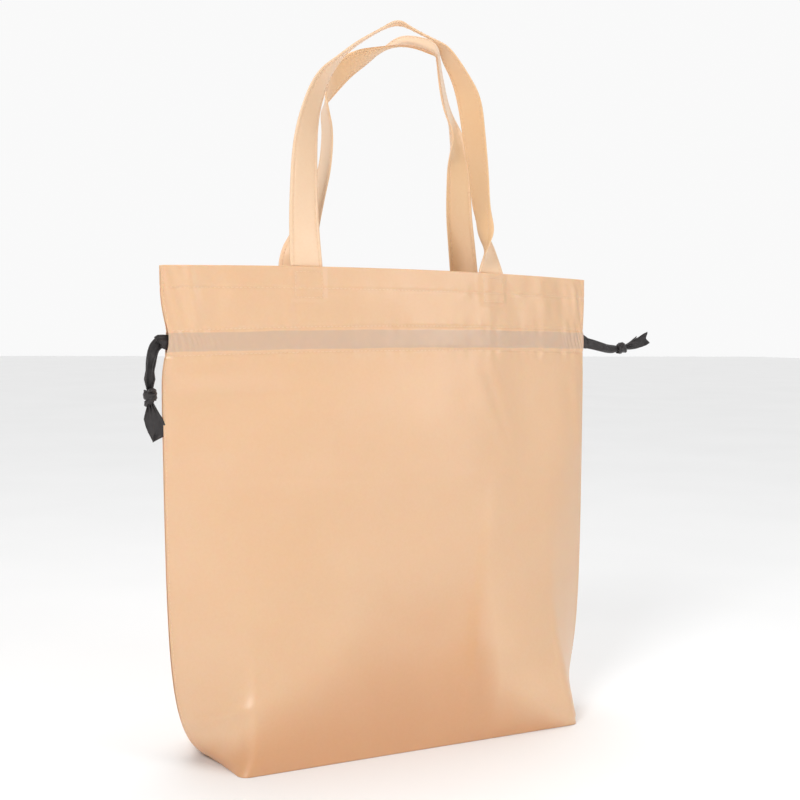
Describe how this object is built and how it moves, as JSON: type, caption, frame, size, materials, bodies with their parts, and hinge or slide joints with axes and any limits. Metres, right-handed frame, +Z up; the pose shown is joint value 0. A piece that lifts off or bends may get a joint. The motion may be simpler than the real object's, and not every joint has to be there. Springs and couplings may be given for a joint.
{
  "type": "drawstring tote bag",
  "caption": "Upright non-woven cloth tote with a boxed base, two flat strap handles and a ribbon drawstring knotted at both side seams.",
  "frame": {"origin": "centre of the base, on the surface the bag stands on", "axes": "+Z up; X along the bag's width; the front face looks along -Y; Y is the bag's depth"},
  "size_m": [0.495, 0.123, 0.591],
  "materials": {
    "bag_cloth": "matt peach spun-bond non-woven cloth",
    "strap_cloth": "folded peach non-woven strap",
    "ribbon": "charcoal woven ribbon with a soft sheen",
    "thread": "peach sewing thread"
  },
  "bodies": {
    "bag": {"back_casing": "bag_cloth", "back_casing_stitching": "thread", "back_end_stitching": "thread", "back_handle_left_end": "strap_cloth", "back_handle_right_end": "strap_cloth", "back_hem_facing": "bag_cloth", "back_hem_stitching": "thread", "back_panel": "bag_cloth", "base_panel": "bag_cloth", "front_casing": "bag_cloth", "front_casing_stitching": "thread", "front_end_stitching": "thread", "front_handle_left_end": "strap_cloth", "front_handle_right_end": "strap_cloth", "front_hem_facing": "bag_cloth", "front_hem_stitching": "thread", "front_panel": "bag_cloth", "left_corner_seam": "bag_cloth", "left_drawstring_back_run": "ribbon", "left_drawstring_front_run": "ribbon", "left_side_seam": "bag_cloth", "left_side_stitching": "thread", "right_corner_seam": "bag_cloth", "right_drawstring_back_run": "ribbon", "right_drawstring_front_run": "ribbon", "right_side_seam": "bag_cloth", "right_side_stitching": "thread"},
    "front_handle": {"front_handle": "strap_cloth", "front_handle_stitching": "thread"},
    "back_handle": {"back_handle": "strap_cloth", "back_handle_stitching": "thread"},
    "left_pull": {"left_pull_neck": "ribbon"},
    "left_tail": {"left_drawstring_strand": "ribbon", "left_knot": "ribbon", "left_ribbon_ends": "ribbon"},
    "right_pull": {"right_pull_neck": "ribbon"},
    "right_tail": {"right_drawstring_strand": "ribbon", "right_knot": "ribbon", "right_ribbon_ends": "ribbon"}
  },
  "joints": [
    {"name": "front_handle_fold", "type": "hinge", "parent": "bag", "child": "front_handle", "pos_m": [0, -0.0226, 0.3862], "axis": [1, 0, 0], "range_deg": [0, 160]},
    {"name": "back_handle_fold", "type": "hinge", "parent": "bag", "child": "back_handle", "pos_m": [0, 0.0226, 0.3862], "axis": [-1, 0, 0], "range_deg": [0, 160]},
    {"name": "left_pull_slide", "type": "slide", "parent": "bag", "child": "left_pull", "axis": [-1, 0, 0], "range_m": [0, 0.12]},
    {"name": "left_tail_swing", "type": "hinge", "parent": "left_pull", "child": "left_tail", "pos_m": [-0.1989, 0, 0.328], "axis": [0, 1, 0], "range_deg": [0, 100]},
    {"name": "right_pull_slide", "type": "slide", "parent": "bag", "child": "right_pull", "axis": [1, 0, 0], "range_m": [0, 0.12]},
    {"name": "right_tail_swing", "type": "hinge", "parent": "right_pull", "child": "right_tail", "pos_m": [0.2039, 0, 0.3284], "axis": [0, 1, 0], "range_deg": [-60, 75]}
  ]
}
